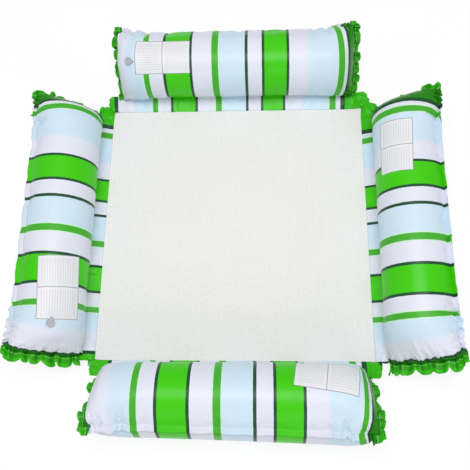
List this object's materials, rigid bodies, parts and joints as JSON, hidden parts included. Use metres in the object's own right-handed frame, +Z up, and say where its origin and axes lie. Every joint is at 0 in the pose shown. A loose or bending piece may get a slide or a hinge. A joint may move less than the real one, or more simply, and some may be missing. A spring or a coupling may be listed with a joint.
{
  "type": "inflatable water hammock",
  "caption": "Square mesh seat framed by inflated film pillows, each hinged on its inner seam, with push-in valves, for lying on water.",
  "frame": {"origin": "on the floor under the middle of the mesh", "axes": "+Z up, +Y towards the head pillow, -X towards the left pillow"},
  "size_m": [0.914, 0.914, 0.1456],
  "materials": {
    "upper_film": "satin printed film, striped green, white and light blue",
    "lower_film": "satin printed film",
    "skirt_film": "satin printed film, green at the corners",
    "frill_film": "satin green film",
    "mesh_cloth": "matt white mesh",
    "valve_plastic": "translucent soft plastic"
  },
  "bodies": {
    "seat": {"mesh_panel": "mesh_cloth", "head_upper_skirt": "skirt_film", "head_lower_skirt": "skirt_film", "left_upper_skirt": "skirt_film", "left_lower_skirt": "skirt_film", "foot_upper_skirt": "skirt_film", "foot_lower_skirt": "skirt_film", "right_upper_skirt": "skirt_film", "right_lower_skirt": "skirt_film"},
    "head_pillow": {"head_upper_skin": "upper_film", "head_lower_skin": "lower_film", "head_frill_start": "frill_film", "head_frill_end": "frill_film", "head_valve_base": "valve_plastic"},
    "head_stem": {"head_valve_stem": "valve_plastic"},
    "head_plug": {"head_valve_plug": "valve_plastic"},
    "head_flap": {"head_check_flap": "valve_plastic"},
    "left_pillow": {"left_upper_skin": "upper_film", "left_lower_skin": "lower_film", "left_frill_start": "frill_film", "left_frill_end": "frill_film", "left_valve_base": "valve_plastic"},
    "left_stem": {"left_valve_stem": "valve_plastic"},
    "left_plug": {"left_valve_plug": "valve_plastic"},
    "left_flap": {"left_check_flap": "valve_plastic"},
    "foot_pillow": {"foot_upper_skin": "upper_film", "foot_lower_skin": "lower_film", "foot_frill_start": "frill_film", "foot_frill_end": "frill_film", "foot_valve_base": "valve_plastic"},
    "foot_stem": {"foot_valve_stem": "valve_plastic"},
    "foot_plug": {"foot_valve_plug": "valve_plastic"},
    "foot_flap": {"foot_check_flap": "valve_plastic"},
    "right_pillow": {"right_upper_skin": "upper_film", "right_lower_skin": "lower_film", "right_frill_start": "frill_film", "right_frill_end": "frill_film", "right_valve_base": "valve_plastic"},
    "right_stem": {"right_valve_stem": "valve_plastic"},
    "right_plug": {"right_valve_plug": "valve_plastic"},
    "right_flap": {"right_check_flap": "valve_plastic"}
  },
  "joints": [
    {"name": "head_pillow_fold", "type": "hinge", "parent": "seat", "child": "head_pillow", "pos_m": [0, 0.32911, 0.02015], "axis": [1, 0, 0], "range_deg": [-45, 45]},
    {"name": "head_stem_slide", "type": "slide", "parent": "head_pillow", "child": "head_stem", "axis": [-0.2371, -0.4412, 0.8655], "range_m": [0, 0.0095]},
    {"name": "head_plug_hinge", "type": "hinge", "parent": "head_stem", "child": "head_plug", "pos_m": [-0.22678, 0.3514, 0.1407], "axis": [0.1, 0.8751, 0.4735], "range_deg": [0, 120]},
    {"name": "head_flap_hinge", "type": "hinge", "parent": "head_stem", "child": "head_flap", "pos_m": [-0.22889, 0.36066, 0.12404], "axis": [-0.1, -0.8751, -0.4735], "range_deg": [0, 50]},
    {"name": "left_pillow_fold", "type": "hinge", "parent": "seat", "child": "left_pillow", "pos_m": [-0.32911, 0, 0.02015], "axis": [0, 1, 0], "range_deg": [-45, 45]},
    {"name": "left_stem_slide", "type": "slide", "parent": "left_pillow", "child": "left_stem", "axis": [0.4412, -0.2371, 0.8655], "range_m": [0, 0.0095]},
    {"name": "left_plug_hinge", "type": "hinge", "parent": "left_stem", "child": "left_plug", "pos_m": [-0.3514, -0.22678, 0.1407], "axis": [-0.8751, 0.1, 0.4735], "range_deg": [0, 120]},
    {"name": "left_flap_hinge", "type": "hinge", "parent": "left_stem", "child": "left_flap", "pos_m": [-0.36066, -0.22889, 0.12404], "axis": [0.8751, -0.1, -0.4735], "range_deg": [0, 50]},
    {"name": "foot_pillow_fold", "type": "hinge", "parent": "seat", "child": "foot_pillow", "pos_m": [0, -0.32911, 0.02015], "axis": [-1, 0, 0], "range_deg": [-45, 45]},
    {"name": "foot_stem_slide", "type": "slide", "parent": "foot_pillow", "child": "foot_stem", "axis": [0.2393, -0.8432, -0.4814], "range_m": [0, 0.0095]},
    {"name": "foot_plug_hinge", "type": "hinge", "parent": "foot_stem", "child": "foot_plug", "pos_m": [0.22679, -0.45038, 0.03685], "axis": [0.0971, 0.5141, -0.8522], "range_deg": [0, 120]},
    {"name": "foot_flap_hinge", "type": "hinge", "parent": "foot_stem", "child": "foot_flap", "pos_m": [0.22886, -0.43416, 0.04687], "axis": [-0.0971, -0.5141, 0.8522], "range_deg": [0, 50]},
    {"name": "right_pillow_fold", "type": "hinge", "parent": "seat", "child": "right_pillow", "pos_m": [0.32911, 0, 0.02015], "axis": [0, -1, 0], "range_deg": [-45, 45]},
    {"name": "right_stem_slide", "type": "slide", "parent": "right_pillow", "child": "right_stem", "axis": [0.8432, 0.2393, -0.4814], "range_m": [0, 0.0095]},
    {"name": "right_plug_hinge", "type": "hinge", "parent": "right_stem", "child": "right_plug", "pos_m": [0.45038, 0.22679, 0.03685], "axis": [-0.5141, 0.0971, -0.8522], "range_deg": [0, 120]},
    {"name": "right_flap_hinge", "type": "hinge", "parent": "right_stem", "child": "right_flap", "pos_m": [0.43416, 0.22886, 0.04687], "axis": [0.5141, -0.0971, 0.8522], "range_deg": [0, 50]}
  ]
}
